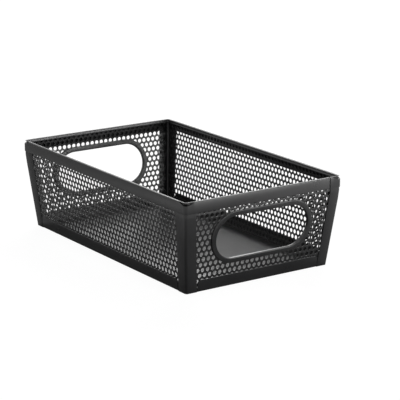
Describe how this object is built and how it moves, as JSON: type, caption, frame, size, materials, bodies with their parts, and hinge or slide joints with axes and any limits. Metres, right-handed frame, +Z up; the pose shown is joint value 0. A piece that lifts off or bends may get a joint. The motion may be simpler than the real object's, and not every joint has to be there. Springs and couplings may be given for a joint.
{
  "type": "perforated storage basket",
  "caption": "Open rectangular storage basket with leaning perforated sheet-metal walls, a folded rim, a plain pan floor and an oval handle opening in each short end.",
  "frame": {"origin": "centre of the rectangle that the basket covers, on the surface it stands on", "axes": "+Y along the length, away from the front end; +X across the width, to the right seen from the front end; +Z up"},
  "size_m": [0.1524, 0.254, 0.0762],
  "materials": {
    "pan_coat": "satin black powder coat on plain sheet steel",
    "panel_coat": "satin black powder coat on perforated sheet steel",
    "frame_coat": "satin black powder coat on folded sheet steel",
    "eyelet_coat": "satin black powder coat on rolled steel"
  },
  "bodies": {
    "root": {"base_pan": "pan_coat", "front_panel": "panel_coat", "back_panel": "panel_coat", "left_panel": "panel_coat", "right_panel": "panel_coat", "front_left_post": "frame_coat", "front_right_post": "frame_coat", "back_left_post": "frame_coat", "back_right_post": "frame_coat", "rim_band": "frame_coat", "front_eyelet": "eyelet_coat", "back_eyelet": "eyelet_coat"}
  },
  "joints": []
}
